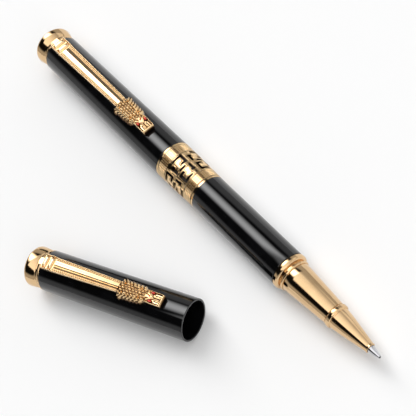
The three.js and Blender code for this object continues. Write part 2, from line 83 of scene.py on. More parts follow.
BODY_OF = {
    node: body
    for body, members in frame["record"]["behaviour"]["bodies"].items()
    for node in members
}

Point = tuple[float, float]
Corner = tuple[float, float, float]
Grid = np.ndarray
# The brightness half of Carved is painted light: it becomes the painted shade weight of the relief
# attribute.
Carved = tuple[Grid, Grid]  # height and brightness
Socket = bpy.types.NodeSocket


class Slot(Enum):
    """The record's material slots."""

    GOLD = "gold"
    CARVED_GOLD = "carved_gold"
    LACQUER = "black_lacquer"
    BRASS = "thread_brass"
    STEEL = "steel"
    CARBIDE = "carbide"
    BLACK_PLASTIC = "black_plastic"
    WHITE_PLASTIC = "white_plastic"
    INK = "ink_fibre"
    RUBBER = "rubber"
    RUBY = "ruby"


# ---------------------------------------------------------------- finishes


@dataclass(frozen=True)
class Finish:
    """One surface finish, with a fine mottling of its colour and of its polish.

    Attributes:
        slot: The record's slot that the finish belongs to.
        light: Linear colour of the raised or bright parts.
        dark: Linear colour of the mottling's darker parts.
        polish: Lowest and highest roughness.
        metallic: 1 for bare metal, 0 otherwise.
        index: Index of refraction.
        mottle: Size of the mottling, per millimetre.
        grain: Size of the fine grain, per millimetre.
        relief: Height of the fine grain, in millimetres.
        recess_shade: Linear colour of the painted shade in the deep parts and on the undersides of a
            casting, or None.
        name: The material's name, where a slot has more than one finish.
    """

    slot: Slot
    light: tuple[float, float, float]
    dark: tuple[float, float, float]
    polish: tuple[float, float] = (0.1, 0.16)
    metallic: float = 0.0
    index: float = 1.5
    mottle: float = 0.25
    grain: float = 3.0
    relief: float = 0.0
    recess_shade: tuple[float, float, float] | None = None
    name: str = ""

    def material(self) -> bpy.types.Material:
        """Makes the material, or gives it back if it has been made.

        Returns:
            The procedural node material.
        """
        name = self.name or self.slot.value
        if name in bpy.data.materials and "made_here" in bpy.data.materials[name]:
            return bpy.data.materials[name]
        material = bpy.data.materials.new(name)
        material["made_here"] = True
        material.use_nodes = True
        nodes = material.node_tree.nodes
        shader = nodes["Principled BSDF"]
        shader.inputs["Metallic"].default_value = self.metallic
        shader.inputs["IOR"].default_value = self.index
        place = self._millimetres(material)
        colour = self._mottled_colour(material, place)
        material.node_tree.links.new(colour, shader.inputs["Base Color"])
        polish = self._polish(material, place)
        material.node_tree.links.new(polish, shader.inputs["Roughness"])
        if self.relief > 0:
            material.node_tree.links.new(self._grain(material, place), shader.inputs["Normal"])
        return material

    def _millimetres(self, material: bpy.types.Material) -> Socket:
        """Gives the piece's own coordinates in millimetres."""
        tree = material.node_tree
        own = tree.nodes.new("ShaderNodeTexCoord")
        scale = tree.nodes.new("ShaderNodeMapping")
        scale.inputs["Scale"].default_value = (1 / MM, 1 / MM, 1 / MM)
        tree.links.new(own.outputs["Object"], scale.inputs["Vector"])
        return scale.outputs["Vector"]

    def _noise(
        self, material: bpy.types.Material, place: Socket, scale: float
    ) -> Socket:
        """Adds a noise texture.

        Args:
            material: The material being made.
            place: Coordinates in millimetres.
            scale: Features per millimetre.

        Returns:
            The noise value, from 0 to 1.
        """
        tree = material.node_tree
        noise = tree.nodes.new("ShaderNodeTexNoise")
        noise.inputs["Scale"].default_value = scale
        noise.inputs["Detail"].default_value = 3.0
        tree.links.new(place, noise.inputs["Vector"])
        return noise.outputs["Fac"]

    def _mottled_colour(
        self, material: bpy.types.Material, place: Socket
    ) -> Socket:
        """Mixes the finish's two colours, and paints shade into the recesses and undersides of a casting,
        where its relief attribute is low.

        Args:
            material: The material being made.
            place: Coordinates in millimetres.

        Returns:
            The colour.
        """
        tree = material.node_tree
        ramp = tree.nodes.new("ShaderNodeValToRGB")
        ramp.color_ramp.elements[0].position = 0.35
        ramp.color_ramp.elements[0].color = (*self.dark, 1)
        ramp.color_ramp.elements[1].position = 0.65
        ramp.color_ramp.elements[1].color = (*self.light, 1)
        tree.links.new(self._noise(material, place, self.mottle), ramp.inputs["Fac"])
        if self.recess_shade is None:
            return ramp.outputs["Color"]
        # Painted shade: the relief attribute mixes in the recess colour, fully where it is 0.
        depth = tree.nodes.new("ShaderNodeAttribute")
        depth.attribute_name = "relief"
        mix = tree.nodes.new("ShaderNodeMix")
        mix.data_type = "RGBA"
        mix.inputs["A"].default_value = (*self.recess_shade, 1)
        tree.links.new(depth.outputs["Fac"], mix.inputs["Factor"])
        tree.links.new(ramp.outputs["Color"], mix.inputs["B"])
        return mix.outputs["Result"]

    def _polish(
        self, material: bpy.types.Material, place: Socket
    ) -> Socket:
        """Varies the roughness between the finish's two values."""
        tree = material.node_tree
        spread = tree.nodes.new("ShaderNodeMapRange")
        spread.inputs["To Min"].default_value = self.polish[0]
        spread.inputs["To Max"].default_value = self.polish[1]
        tree.links.new(self._noise(material, place, self.mottle * 2.3), spread.inputs["Value"])
        return spread.outputs["Result"]

    def _grain(
        self, material: bpy.types.Material, place: Socket
    ) -> Socket:
        """Raises the fine grain."""
        tree = material.node_tree
        bump = tree.nodes.new("ShaderNodeBump")
        bump.inputs["Distance"].default_value = self.relief * MM
        bump.inputs["Strength"].default_value = 1.0
        tree.links.new(self._noise(material, place, self.grain), bump.inputs["Height"])
        return bump.outputs["Normal"]


GOLD = Finish(
    Slot.GOLD, light=(0.76, 0.525, 0.29), dark=(0.72, 0.485, 0.26), polish=(0.07, 0.12), metallic=1.0
)
CARVED_GOLD = Finish(
    Slot.CARVED_GOLD,
    light=(0.84, 0.61, 0.34),
    dark=(0.78, 0.54, 0.28),
    polish=(0.08, 0.15),
    metallic=1.0,
    relief=0.002,
    # Colour of the painted shade in the casting's recesses and on its underside.
    recess_shade=(0.06, 0.022, 0.006),
)
CHASED_GOLD = Finish(
    Slot.GOLD,
    light=(0.86, 0.64, 0.38),
    dark=(0.80, 0.58, 0.33),
    polish=(0.10, 0.16),
    metallic=1.0,
    # Colour of the painted shade in the chased parts' recesses and on their underside.
    recess_shade=(0.30, 0.17, 0.06),
    name="chased_gold",
)
LACQUER = Finish(
    Slot.LACQUER,
    light=(0.0035, 0.0035, 0.0040),
    dark=(0.0018, 0.0018, 0.0020),
    polish=(0.05, 0.08),
    index=1.6,
)
BRASS = Finish(
    Slot.BRASS,
    light=(0.62, 0.42, 0.16),
    dark=(0.50, 0.33, 0.12),
    polish=(0.25, 0.38),
    metallic=1.0,
    relief=0.003,
)
STEEL = Finish(
    Slot.STEEL, light=(0.70, 0.70, 0.72), dark=(0.60, 0.60, 0.62), polish=(0.06, 0.10), metallic=1.0
)
CARBIDE = Finish(
    Slot.CARBIDE, light=(0.10, 0.10, 0.11), dark=(0.06, 0.06, 0.07), polish=(0.2, 0.3), metallic=1.0
)
BLACK_PLASTIC = Finish(
    Slot.BLACK_PLASTIC,
    light=(0.012, 0.012, 0.013),
    dark=(0.008, 0.008, 0.009),
    polish=(0.4, 0.55),
    relief=0.004,
)
WHITE_PLASTIC = Finish(
    Slot.WHITE_PLASTIC,
    light=(0.78, 0.76, 0.70),
    dark=(0.72, 0.70, 0.64),
    polish=(0.35, 0.5),
    relief=0.003,
)
INK = Finish(
    Slot.INK, light=(0.02, 0.03, 0.12), dark=(0.01, 0.015, 0.07), polish=(0.7, 0.9), relief=0.03
)
RUBBER = Finish(
    Slot.RUBBER,
    light=(0.012, 0.012, 0.012),
    dark=(0.006, 0.006, 0.006),
    polish=(0.6, 0.8),
    relief=0.006,
)
RUBY = Finish(
    Slot.RUBY,
    light=(0.78, 0.05, 0.012),
    dark=(0.60, 0.02, 0.006),
    polish=(0.04, 0.08),
    index=1.76,
    mottle=1.5,
)


# ---------------------------------------------------------------- surfaces


@dataclass
class Surface:
    """A closed mesh in the making.

    Attributes:
        points: Vertices in millimetres, one row each.
        faces: Corners of each face.
        relief: Painted light weight, 0 for full painted shade in the recesses and on undersides to 1 on the
            high parts, one value for each vertex.
    """

    points: Grid
    faces: Grid
    relief: Grid

    @staticmethod
    def woven(rows: Grid, relief: Grid | None = None, ring: bool = True) -> "Surface":
        """Joins rows of points into faces; each row is a closed loop.

        Args:
            rows: Points as [row, place in the row, coordinate].
            relief: Painted light weight of each point, 0 for full painted shade, or None for a plain
                surface.
            ring: Whether the last row joins the first.

        Returns:
            The surface.
        """
        count, across = rows.shape[:2]
        number = np.arange(count * across).reshape(count, across)
        start = number if ring else number[:-1]
        end = np.roll(number, -1, axis=0) if ring else number[1:]
        faces = np.stack([start, np.roll(start, -1, 1), np.roll(end, -1, 1), end], -1)
        height = np.ones((count, across)) if relief is None else relief
        return Surface(rows.reshape(-1, 3), faces.reshape(-1, 4), height.reshape(-1))

    @staticmethod
    def joined(parts: Iterable["Surface"]) -> "Surface":
        """Puts several surfaces into one."""
        held = list(parts)
        starts = np.cumsum([0] + [len(part.points) for part in held[:-1]])
        return Surface(
            np.concatenate([part.points for part in held]),
            np.concatenate([part.faces + start for part, start in zip(held, starts)]),
            np.concatenate([part.relief for part in held]),
        )

    @staticmethod
    def turned(outline: Sequence[Point], segments: int = ROUND) -> "Surface":
        """Turns a closed outline of (along, radius) points round the axis."""
        along, radius = np.array(outline, float).T
        angle = np.linspace(0, 2 * math.pi, segments, endpoint=False)
        rows = np.stack(
            [
                np.repeat(along[:, None], segments, 1),
                np.outer(radius, np.sin(angle)),
                np.outer(radius, np.cos(angle)),
            ],
            -1,
        )
        return Surface.woven(rows)

    @staticmethod
    def slab(top: Grid, bottom: Grid, relief: Grid) -> "Surface":
        """Closes the space between an upper and a lower sheet of points.

        Args:
            top: Upper points as [along, across, coordinate].
            bottom: Lower points in the same order.
            relief: Painted light weight of each upper point; the lower sheet gets 0, full painted shade.

        Returns:
            The closed surface.
        """
        loops = np.concatenate([top, bottom[:, ::-1]], axis=1)
        # Painted shade: the lower sheet gets weight 0, the full recess colour, on the underside.
        heights = np.concatenate([relief, np.zeros_like(relief)], axis=1)
        skin = Surface.woven(loops, heights, ring=False)
        across, total = top.shape[1], loops.shape[1]
        upper = np.arange(across - 1)
        ends = []
        for row in (0, len(top) - 1):
            base = row * total
            first, last = base + upper, base + total - 1 - upper
            ends.append(np.stack([first, first + 1, last - 1, last], -1))
        return Surface(skin.points, np.concatenate([skin.faces, *ends]), skin.relief)

    @staticmethod
    def ball(centre: Sequence[float], size: Sequence[float], rows: int = 24, across: int = 32) -> "Surface":
        """An ellipsoid.

        Args:
            centre: Its middle.
            size: Its length, width and height.
            rows: Rings from end to end.
            across: Points round each ring.

        Returns:
            The surface.
        """
        outline = [
            (-math.cos(math.pi * i / rows), max(math.sin(math.pi * i / rows), 0.0)) for i in range(rows + 1)
        ]
        unit = Surface.turned(outline, across)
        unit.points = unit.points * (np.array(size) / 2) + np.array(centre)
        return unit


def softened(corners: Sequence[Corner], steps: int = 5) -> list[Point]:
    """Rounds the corners of a closed outline.

    Args:
        corners: Each corner as (along, radius, rounding).
        steps: Points for each rounded corner, less one.

    Returns:
        The outline's points.
    """
    result = []
    for i, (along, radius, rounding) in enumerate(corners):
        here = Vector((along, radius))
        if rounding <= 0:
            result.append((along, radius))
            continue
        before = Vector(corners[i - 1][:2])
        after = Vector(corners[(i + 1) % len(corners)][:2])
        first = here + (before - here).normalized() * rounding
        last = here + (after - here).normalized() * rounding
        for t in np.linspace(0, 1, steps + 1):
            result.append(tuple(first * (1 - t) ** 2 + here * 2 * t * (1 - t) + last * t**2))
    return result


def dome(share: Grid, power: int = 2) -> Grid:
    """Height of a half-round section, 1 at its middle and 0 from a share of 1 outward."""
    return np.sqrt(np.clip(1 - share**power, 0, 1))


def arc(along: float, radius: float, size: float, start: float, end: float, steps: int = 12) -> list[Point]:
    """Points on an arc in the outline plane.

    Args:
        along: Middle of the arc along the axis.
        radius: Distance of the middle from the axis.
        size: The arc's own radius.
        start: First angle in degrees, 0 forward and 90 outward.
        end: Last angle in degrees.
        steps: Number of chords.

    Returns:
        The points.
    """
    angles = np.radians(np.linspace(start, end, steps + 1))
    return [(along + size * math.cos(a), radius + size * math.sin(a)) for a in angles]


@dataclass(frozen=True)
class Seat:
    """Where a turned piece lies: its rear end and its direction, in the shared frame."""

    origin: Vector
    direction: Vector

    def matrix(self, turn: float = 0.0) -> Matrix:
        """The placement of a piece, turned about its axis.

        Args:
            turn: Angle about the axis in degrees.

        Returns:
            The matrix from the piece's own axes to the shared frame.
        """
        across = Vector((0, 0, 1)).cross(self.direction).normalized()
        axes = Matrix((self.direction, across, self.direction.cross(across))).transposed()
        return Matrix.Translation(self.origin) @ axes.to_4x4() @ Matrix.Rotation(math.radians(turn), 4, "X")


def fit(
    name: str, surface: Surface, finish: Finish, placement: Matrix, node: str, crease: float = 38.0
) -> bpy.types.Object:
    """Makes one piece, dresses it and fixes it to the body of the CAD node that it stands for.

    Args:
        name: The piece's name.
        surface: Its shape in millimetres along its own axis.
        finish: Its finish.
        placement: From its own axes to the shared frame.
        node: The CAD node that it stands for.
        crease: Angle in degrees above which an edge stays sharp.

    Returns:
        The piece.
    """
    mesh = bpy.data.meshes.new(name)
    mesh.from_pydata((surface.points * MM).tolist(), [], surface.faces.tolist())
    # The relief attribute is the painted light weight that a finish's recess colour reads.
    relief = mesh.attributes.new("relief", "FLOAT", "POINT")
    relief.data.foreach_set("value", surface.relief.astype(np.float32))
    shape = bmesh.new()
    shape.from_mesh(mesh)
    bmesh.ops.remove_doubles(shape, verts=shape.verts, dist=0.0005 * MM)
    bmesh.ops.recalc_face_normals(shape, faces=shape.faces)
    shape.to_mesh(mesh)
    shape.free()
    mesh.shade_smooth()
    mesh.set_sharp_from_angle(angle=math.radians(crease))
    mesh.materials.append(finish.material())
    piece = bpy.data.objects.new(name, mesh)
    bpy.context.scene.collection.objects.link(piece)
    piece.matrix_world = placement
    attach(piece, BODY_OF[node])
    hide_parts(node)
    LOG.info("%s stands for %s", name, node)
    return piece


def fit_all(
    parts: Iterable[tuple[str, Surface, Finish, str]], placement: Matrix, prefix: str = ""
) -> None:
    """Makes and dresses several pieces.

    Args:
        parts: Name, shape, finish and CAD node of each piece.
        placement: From the pieces' own axes to the shared frame.
        prefix: The start of every name and node.
    """
    for name, surface, finish, node in parts:
        fit(prefix + name, surface, finish, placement, prefix + node)


# ---------------------------------------------------------------- castings


@dataclass
class Casting:
    """A relief seen from above: height over a grid of places along and across.

    Attributes:
        along: Distance of each grid point from the casting's rear.
        across: Distance of each grid point from its middle line, in the design's width.
        ground: Height of the plain ground above the axis.
        raised: Height of what is laid on the ground.
        cut: Depth of what is cut from it.
    """

    along: Grid
    across: Grid
    ground: Grid
    raised: Grid = field(init=False)
    cut: Grid = field(init=False)

    def __post_init__(self) -> None:
        """Starts with nothing raised and nothing cut."""
        self.raised = np.zeros_like(self.ground)
        self.cut = np.zeros_like(self.ground)

    @property
    def height(self) -> Grid:
        """Height of the carved surface."""
        return self.ground + self.raised - self.cut

    def cord(self, path: Sequence[Point], width: Point, rise: Point) -> None:
        """Lays a rounded ridge along a line of points, on both sides of the middle line.

        Args:
            path: Points as (along, across), drawn on one side.
            width: Half-width at the start and at the end.
            rise: Height above the ground at the start and at the end.
        """
        self.raised = np.maximum(self.raised, self._sweep(path, width, rise))

    def gouge(self, path: Sequence[Point], width: Point, depth: Point) -> None:
        """Cuts a rounded groove along a line of points, on both sides of the middle line.

        Args:
            path: Points as (along, across), drawn on one side.
            width: Half-width at the start and at the end.
            depth: Depth below the ground at the start and at the end.
        """
        self.cut = np.maximum(self.cut, self._sweep(path, width, depth))

    def _sweep(self, path: Sequence[Point], width: Point, size: Point) -> Grid:
        """Gives the half-round section of a cord or gouge.

        Args:
            path: Points as (along, across).
            width: Half-width at the start and at the end.
            size: Height or depth at the start and at the end.

        Returns:
            The section's size at each place.
        """
        legs = len(path) - 1
        result = np.zeros_like(self.ground)
        side = np.abs(self.across)
        for i in range(legs):
            (u0, v0), (u1, v1) = path[i], path[i + 1]
            du, dv = u1 - u0, v1 - v0
            t = ((self.along - u0) * du + (side - v0) * dv) / (du * du + dv * dv)
            t = np.clip(t, 0, 1)
            distance = np.hypot(self.along - u0 - t * du, side - v0 - t * dv)
            share = (i + t) / legs
            half = width[0] + (width[1] - width[0]) * share
            top = size[0] + (size[1] - size[0]) * share
            result = np.maximum(result, top * dome(distance / half))
        return result

    def bead(self, place: Point, size: Point, rise: float) -> None:
        """Raises an oval bump on both sides of the middle line.

        Args:
            place: Its middle as (along, across).
            size: Half-length and half-width.
            rise: Its height.
        """
        self.raised = np.maximum(self.raised, self._oval(place, size, rise))

    def pit(self, place: Point, size: Point, depth: float) -> None:
        """Sinks an oval hollow on both sides of the middle line.

        Args:
            place: Its middle as (along, across).
            size: Half-length and half-width.
            depth: Its depth.
        """
        self.cut = np.maximum(self.cut, self._oval(place, size, depth))

    def _oval(self, place: Point, size: Point, depth: float) -> Grid:
        """Gives the section of an oval bump or hollow."""
        away = ((self.along - place[0]) / size[0]) ** 2 + ((np.abs(self.across) - place[1]) / size[1]) ** 2
        return depth * np.sqrt(np.clip(1 - away, 0, 1))


def under(across: Grid, radius: float) -> Grid:
    """Height of a round seat above the axis, at each distance from the middle line."""
    return np.sqrt(np.clip(radius**2 - across**2, 0, None))


@dataclass
class Clip:
    """A shell's clip: knuckle, bar, dragon head and stones.

    Attributes:
        prefix: The shell's name, which starts the names of its nodes.
        rear: Start of the knuckle from the shell's rear rim.
        bar: Start of the bar.
        head: Start of the head.
        end: End of the head.
        width: Share of the full width.
        ribbed: Whether two fine lines run along the bar's rib.
        seat: The radius that the clip's underside follows.
        gap: Space between bar and head.
        eye_across: Distance of each eye from the middle line, in the full-width design.
        eye_height: Height of the eyes above the axis.
        eye_size: Length, width and height of an eye.
        brow_height: Height of the brow stone above the axis.
    """

    prefix: str
    rear: float
    bar: float
    head: float
    end: float
    width: float
    ribbed: bool
    seat: float = 6.85
    gap: float = 0.06
    eye_across: float = 1.45
    eye_height: float = 8.62
    eye_size: tuple[float, float, float] = (1.15, 0.66, 0.76)
    brow_height: float = 9.35

    def build(self, placement: Matrix) -> None:
        """Makes and dresses the clip's pieces.

        Args:
            placement: From the clip's own axes to the shared frame.
        """
        spine = Surface.joined([self._knuckle(), self._bar()])
        fit(f"{self.prefix}_clip_spine", spine, CHASED_GOLD, placement, f"{self.prefix}_clip_bar", crease=50)
        fit(
            f"{self.prefix}_cast_head",
            self._head(),
            CARVED_GOLD,
            placement,
            f"{self.prefix}_dragon_head",
            crease=60,
        )
        eyes_along, brow_along, brow_size = self.head + 12.0, self.head + 11.7, 0.6
        for side, across in (("left", self.eye_across), ("right", -self.eye_across)):
            place = (eyes_along, across * self.width, self.eye_height)
            stone = Surface.ball(place, self.eye_size)
            fit(f"{self.prefix}_{side}_eye_stone", stone, RUBY, placement, f"{self.prefix}_{side}_eye")
        brow = Surface.ball((brow_along, 0, self.brow_height), (brow_size, brow_size, brow_size))
        fit(f"{self.prefix}_brow_jewel", brow, RUBY, placement, f"{self.prefix}_brow_stone")

    def _relief(
        self,
        along: Grid,
        share: Grid,
        half_width: Callable[[Grid], Grid],
        carve: Callable[[Grid, Grid, Grid], Carved],
    ) -> Surface:
        """Casts a closed relief over the clip's seat.

        Args:
            along: Stations along the clip.
            share: Places across, from -1 at one edge to 1 at the other.
            half_width: Gives the half-width at each station, in the full-width design.
            carve: Gives height and painted brightness from the station, the distance across and the share.

        Returns:
            The surface.
        """
        x, t = np.meshgrid(along, share, indexing="ij")
        across = t * half_width(x)
        z, bright = carve(x, across, t)
        y = across * self.width
        top = np.stack([x, y, z], -1)
        bottom = np.stack([x, y, np.minimum(under(y, self.seat), z - 0.05)], -1)
        return Surface.slab(top, bottom, np.clip(bright, 0, 1))

    def _knuckle(self) -> Surface:
        """The block at the clip's root: thin side rims and two round cross ridges."""

        def carve(x: Grid, y: Grid, t: Grid) -> Carved:
            """Height and painted brightness of the knuckle: painted highlights on the ridges and rims,
            painted shade on the ground.
            """
            place = np.clip((x - self.rear) / (self.bar - self.rear), 0, 1)
            ridge = dome((np.mod(place * 2, 1) - 0.5) / 0.36)
            side = np.abs(t)
            ridge = ridge * dome(side / 0.78, 4)
            rim = dome((side - 0.92) / 0.1)
            raised = np.maximum(ridge * 0.62, rim * 0.72)
            ends = np.clip(1 - np.minimum(x - self.rear, self.bar - x) / 0.2, 0, 1)
            return 7.82 + raised * (1 - 0.5 * ends**2), raised / 0.2 + 0.5

        share = np.concatenate([[-1.0], np.linspace(-0.995, 0.995, 91), [1.0]])
        stations = np.linspace(self.rear, self.bar, 101)
        return self._relief(stations, share, lambda x: np.full_like(x, 2.7), carve)

    def _bar(self) -> Surface:
        """The bar: a roof-shaped centre rib between two beaded channels and thin outer rims."""
        pitch = 0.72
        floor = 7.86
        rib_edge = 0.5

        def half_width(x: Grid) -> Grid:
            """Half-width, narrowing towards the head."""
            return np.interp(x, [self.bar, self.head], [2.6, 2.0])

        def carve(x: Grid, y: Grid, t: Grid) -> Carved:
            """Height and painted brightness of the bar: painted highlights on the rib and beads, painted
            shade in the channels.
            """
            side = np.abs(t)
            rib = 8.38 - 0.22 * side / rib_edge
            if self.ribbed:
                rib = rib - 0.12 * np.clip(1 - ((side - 0.25) / 0.05) ** 2, 0, 1)
            start = np.clip((x - self.bar - 0.35) / 0.12, 0, 1)
            wall = np.clip((rib_edge + 0.04 - side) / 0.04, 0, 1)
            u = np.mod(x - self.bar, pitch) - pitch / 2
            v = (side - 0.73) * half_width(x)
            bead = np.sqrt(np.clip(1 - (u / 0.33) ** 2 - (v / 0.33) ** 2, 0, 1))
            rim = dome((side - 0.93) / 0.085)
            raised = np.maximum((rib - floor) * wall * start, 0.32 * np.maximum(bead, rim))
            return floor + raised, 0.3 + raised / 0.12

        share = np.sort(np.concatenate([np.linspace(-1, 1, 121), [-0.5, 0.5, -0.54, 0.54]]))
        stations = np.arange(self.bar, self.head + 0.3, 0.055)
        return self._relief(stations, share, half_width, carve)

    def _head(self) -> Surface:
        """The cast dragon head, with a small foot under its chin."""
        start = self.head + self.gap
        scale = (self.end - start) / 15.7

        def half_width(x: Grid) -> Grid:
            """Half-width: side tufts, spiky scale tips, then the smooth snout."""
            u = (x - start) / scale
            plain = np.interp(
                u,
                [0, 0.5, 1.3, 2.3, 5.0, 7.8, 10.2, 11.2, 14.8, 15.35, 15.7],
                [1.9, 2.8, 3.1, 2.75, 2.8, 2.6, 2.15, 2.15, 2.15, 2.05, 1.85],
            )
            spikes = 0.6 * np.mod(-u / 1.25, 1.0) ** 1.3
            window = np.clip((u - 0.4) / 0.5, 0, 1) * np.clip((10.0 - u) / 0.8, 0, 1)
            return plain + spikes * window

        def carve(x: Grid, y: Grid, t: Grid) -> Carved:
            """Height and painted brightness of the head."""
            return self._carve((x - start) / scale, y, t)

        share = np.concatenate([[-1.0], np.linspace(-0.985, 0.985, 121), [1.0]])
        stations = np.linspace(start, self.end, 300)
        head = self._relief(stations, share, half_width, carve)
        chin = self.end - 1.8
        reach = 0.75 * self.width
        along, across = np.meshgrid(
            np.linspace(chin - 0.8, chin + 0.8, 9), np.linspace(-reach, reach, 9), indexing="ij"
        )
        top = np.stack([along, across, np.full_like(along, 7.3)], -1)
        bottom = np.stack([along, across, under(across, 6.62)], -1)
        foot = Surface.slab(top, bottom, np.ones_like(along))
        return Surface.joined([head, foot])

    def _carve(self, u: Grid, v: Grid, t: Grid) -> Carved:
        """Carves the head's features.

        Args:
            u: Distance from the head's rear.
            v: Distance across, in the full-width design.
            t: Share of the half-width.

        Returns:
            The height and the painted brightness at each place: painted shade on the mane's ground, in the
            cuts and on the snout's front face, painted highlights on the raised parts.
        """
        crown = np.interp(
            u,
            [0, 1, 3, 7, 9.5, 11, 12.5, 14.4, 15.7],
            [7.9, 8.3, 8.5, 8.55, 8.5, 8.4, 8.15, 8.05, 8.05],
        )
        mane = np.clip((11.0 - u) / 1.5, 0, 1)
        casting = Casting(u, v, crown - (0.10 + 0.45 * mane) * np.abs(t) ** 2.2)
        self._mane(casting)
        self._face(casting)
        raised, cut = casting.raised, casting.cut
        edge = np.clip((np.abs(t) - 0.92) / 0.08, 0, 1)
        front = np.clip((u - 15.5) / 0.2, 0, 1)
        z = casting.height - 0.25 * edge**2 - 0.3 * front**2
        # Painted light: dark ground between the mane's beads, lit crowns, painted shade in the cuts and on
        # the snout's front face.
        bright = (0.1 + raised / 0.22) * mane + (0.8 + raised / 0.4) * (1 - mane) - 2.2 * cut
        return z, bright - front

    def _mane(self, casting: Casting) -> None:
        """Lays the beaded crest, the rows of scales, the horns and the side tufts."""
        columns = ((0.0, 0.52, 0.40, 0.62), (0.82, 0.50, 0.36, 0.50), (1.66, 0.54, 0.42, 0.55))
        for number, (across, length, width, rise) in enumerate(columns):
            for i in range(8):
                swell = 1 + 0.22 * math.sin(2.4 * i + 1.7 * number)
                place = 0.8 + 1.22 * i + 0.61 * (number % 2)
                middle = (place, across + 0.12 * (swell - 1))
                casting.bead(middle, (length * swell, width * swell), rise * swell)
        for place in (2.2, 5.3, 8.2):
            casting.pit((place, 1.66), (0.2, 0.2), 0.5)
        for i in range(7):
            root = 9.2 - 1.25 * i
            casting.cord([(root, 2.2), (root - 0.5, 2.65), (root - 1.2, 3.4)], (0.36, 0.2), (0.55, 0.4))
        casting.cord([(10.8, 0.5), (9.6, 0.98), (7.4, 1.3), (5.6, 1.5)], (0.20, 0.1), (0.72, 0.45))

    def _face(self, casting: Casting) -> None:
        """Lays brow, eye sockets, cheek bands, nose ridges, nostrils and lip."""
        casting.cord([(12.7, 0.30), (11.8, 0.80), (11.0, 1.25), (10.3, 1.9)], (0.30, 0.24), (0.62, 0.5))
        casting.pit((12.0, 1.45), (1.0, 0.52), 0.35)
        casting.cord([(10.4, 2.1), (12.0, 2.08), (15.3, 1.98)], (0.24, 0.22), (0.42, 0.40))
        casting.cord([(15.3, 0.0), (15.3, 1.98)], (0.24, 0.24), (0.40, 0.40))
        casting.cord([(12.6, 0.34), (13.6, 0.34), (14.7, 0.42)], (0.24, 0.26), (0.42, 0.34))
        casting.gouge([(13.1, 0.86), (13.8, 0.96), (14.9, 1.0)], (0.20, 0.16), (0.42, 0.36))
        casting.gouge([(13.0, 1.62), (14.9, 1.62)], (0.16, 0.14), (0.40, 0.36))
        casting.gouge([(12.4, 0.0), (14.9, 0.0)], (0.13, 0.13), (0.32, 0.32))
        casting.gouge([(14.98, 0.0), (14.98, 1.6)], (0.12, 0.12), (0.36, 0.36))


# ---------------------------------------------------------------- turned sub-assemblies


@dataclass
class Shell:
    """A lacquered shell with its finial, clip ring, inner parts and clip.

    Attributes:
        prefix: The start of its nodes' names.
        seat: Where its rear rim lies.
        length: From the rear rim to the mouth.
        liner: Length of the inner liner.
        lean: Turn of the clip about the axis in degrees.
        clip: The clip.
        rim: Radius of the finial's rear rim.
    """

    prefix: str
    seat: Seat
    length: float
    liner: float
    lean: float
    clip: Clip
    rim: float
    radius: float = 6.5
    bore: float = 5.9
    neck: float = 4.9
    ring: float = 1.25

    def build(self) -> None:
        """Makes and dresses the shell's pieces."""
        parts = (
            ("finial_turned", self._finial(), GOLD, "finial"),
            ("ring_turned", self._ring(), GOLD, "clip_ring"),
            ("screw_turned", self._screw(), STEEL, "finial_screw"),
            ("liner_moulded", self._liner(), BLACK_PLASTIC, "inner_liner"),
            ("tube_lacquered", self._tube(), LACQUER, "shell_tube"),
        )
        fit_all(parts, self.seat.matrix(), f"{self.prefix}_")
        self.clip.build(self.seat.matrix(self.lean))

    def _finial(self) -> Surface:
        """End piece: round rear rim, straight flare to a neck with a fine groove."""
        rounding = 1.08
        edge = self.rim - 0.02
        return Surface.turned([
            (0.02, 0), *arc(rounding + 0.02, edge - rounding, rounding, 180, 90, 16),
            (self.neck - 0.75, 6.16),
            *softened([(self.neck - 0.55, 5.92, 0.05), (self.neck - 0.45, 5.92, 0.05)]),
            (self.neck - 0.3, 6.08), (self.neck, 6.02), (self.neck, 1.25), (2.3, 1.25),
            (2.3, 0),
        ])

    def _ring(self) -> Surface:
        """Rounded washer between finial and tube, with the tongue that holds the clip."""
        start = self.neck + 0.03
        end = start + self.ring
        outer = 6.47
        half = 0.42
        ring = Surface.turned([
            (start, 1.25), (end, 1.25), (end, outer - half - 0.05),
            *arc(end - half, outer - half, half, 0, 180, 14), (start, 6.0),
        ])
        lean = math.radians(self.lean)
        stations = np.linspace(end - 0.5, self.clip.rear + 0.9, 5)
        along, across = np.meshgrid(stations, np.linspace(-1.1, 1.1, 9), indexing="ij")

        def leaned(height: Grid) -> Grid:
            """Turns the tongue with the clip."""
            return np.stack(
                [
                    along,
                    across * math.cos(lean) - height * math.sin(lean),
                    across * math.sin(lean) + height * math.cos(lean),
                ],
                -1,
            )

        top, bottom = leaned(np.full_like(along, 7.15)), leaned(under(across, 6.4))
        return Surface.joined([ring, Surface.slab(top, bottom, np.ones_like(along))])

    def _screw(self) -> Surface:
        """Pan-head screw through liner and ring into the finial."""
        head = self.neck + self.ring + 2.05
        shank = [(2.5, 0), (2.5, 1.0), (2.7, 1.2), (head, 1.2), (head, 2.3)]
        return Surface.turned([*shank, *arc(head + 0.3, 1.6, 0.7, 90, 0, 8), (head + 1.0, 0)], 64)

    def _liner(self) -> Surface:
        """Plastic cup that takes the screw."""
        start = self.neck + self.ring + 0.15
        wall, floor = 0.55, 1.8
        outer = self.bore - 0.05
        return Surface.turned(
            softened(
                [
                    (start, 1.25, 0), (start + floor, 1.25, 0), (start + floor, outer - wall, 0.3),
                    (start + self.liner, outer - wall, 0.15), (start + self.liner, outer, 0.15),
                    (start, outer, 0.1),
                ]
            )
        )

    def _tube(self) -> Surface:
        """Tube with a softly rounded mouth."""
        start = self.neck + self.ring + 0.1
        return Surface.turned(
            softened(
                [
                    (start, self.bore, 0), (self.length, self.bore, 0.16),
                    (self.length, self.radius, 0.22), (start, self.radius, 0.08),
                ],
                8,
            )
        )


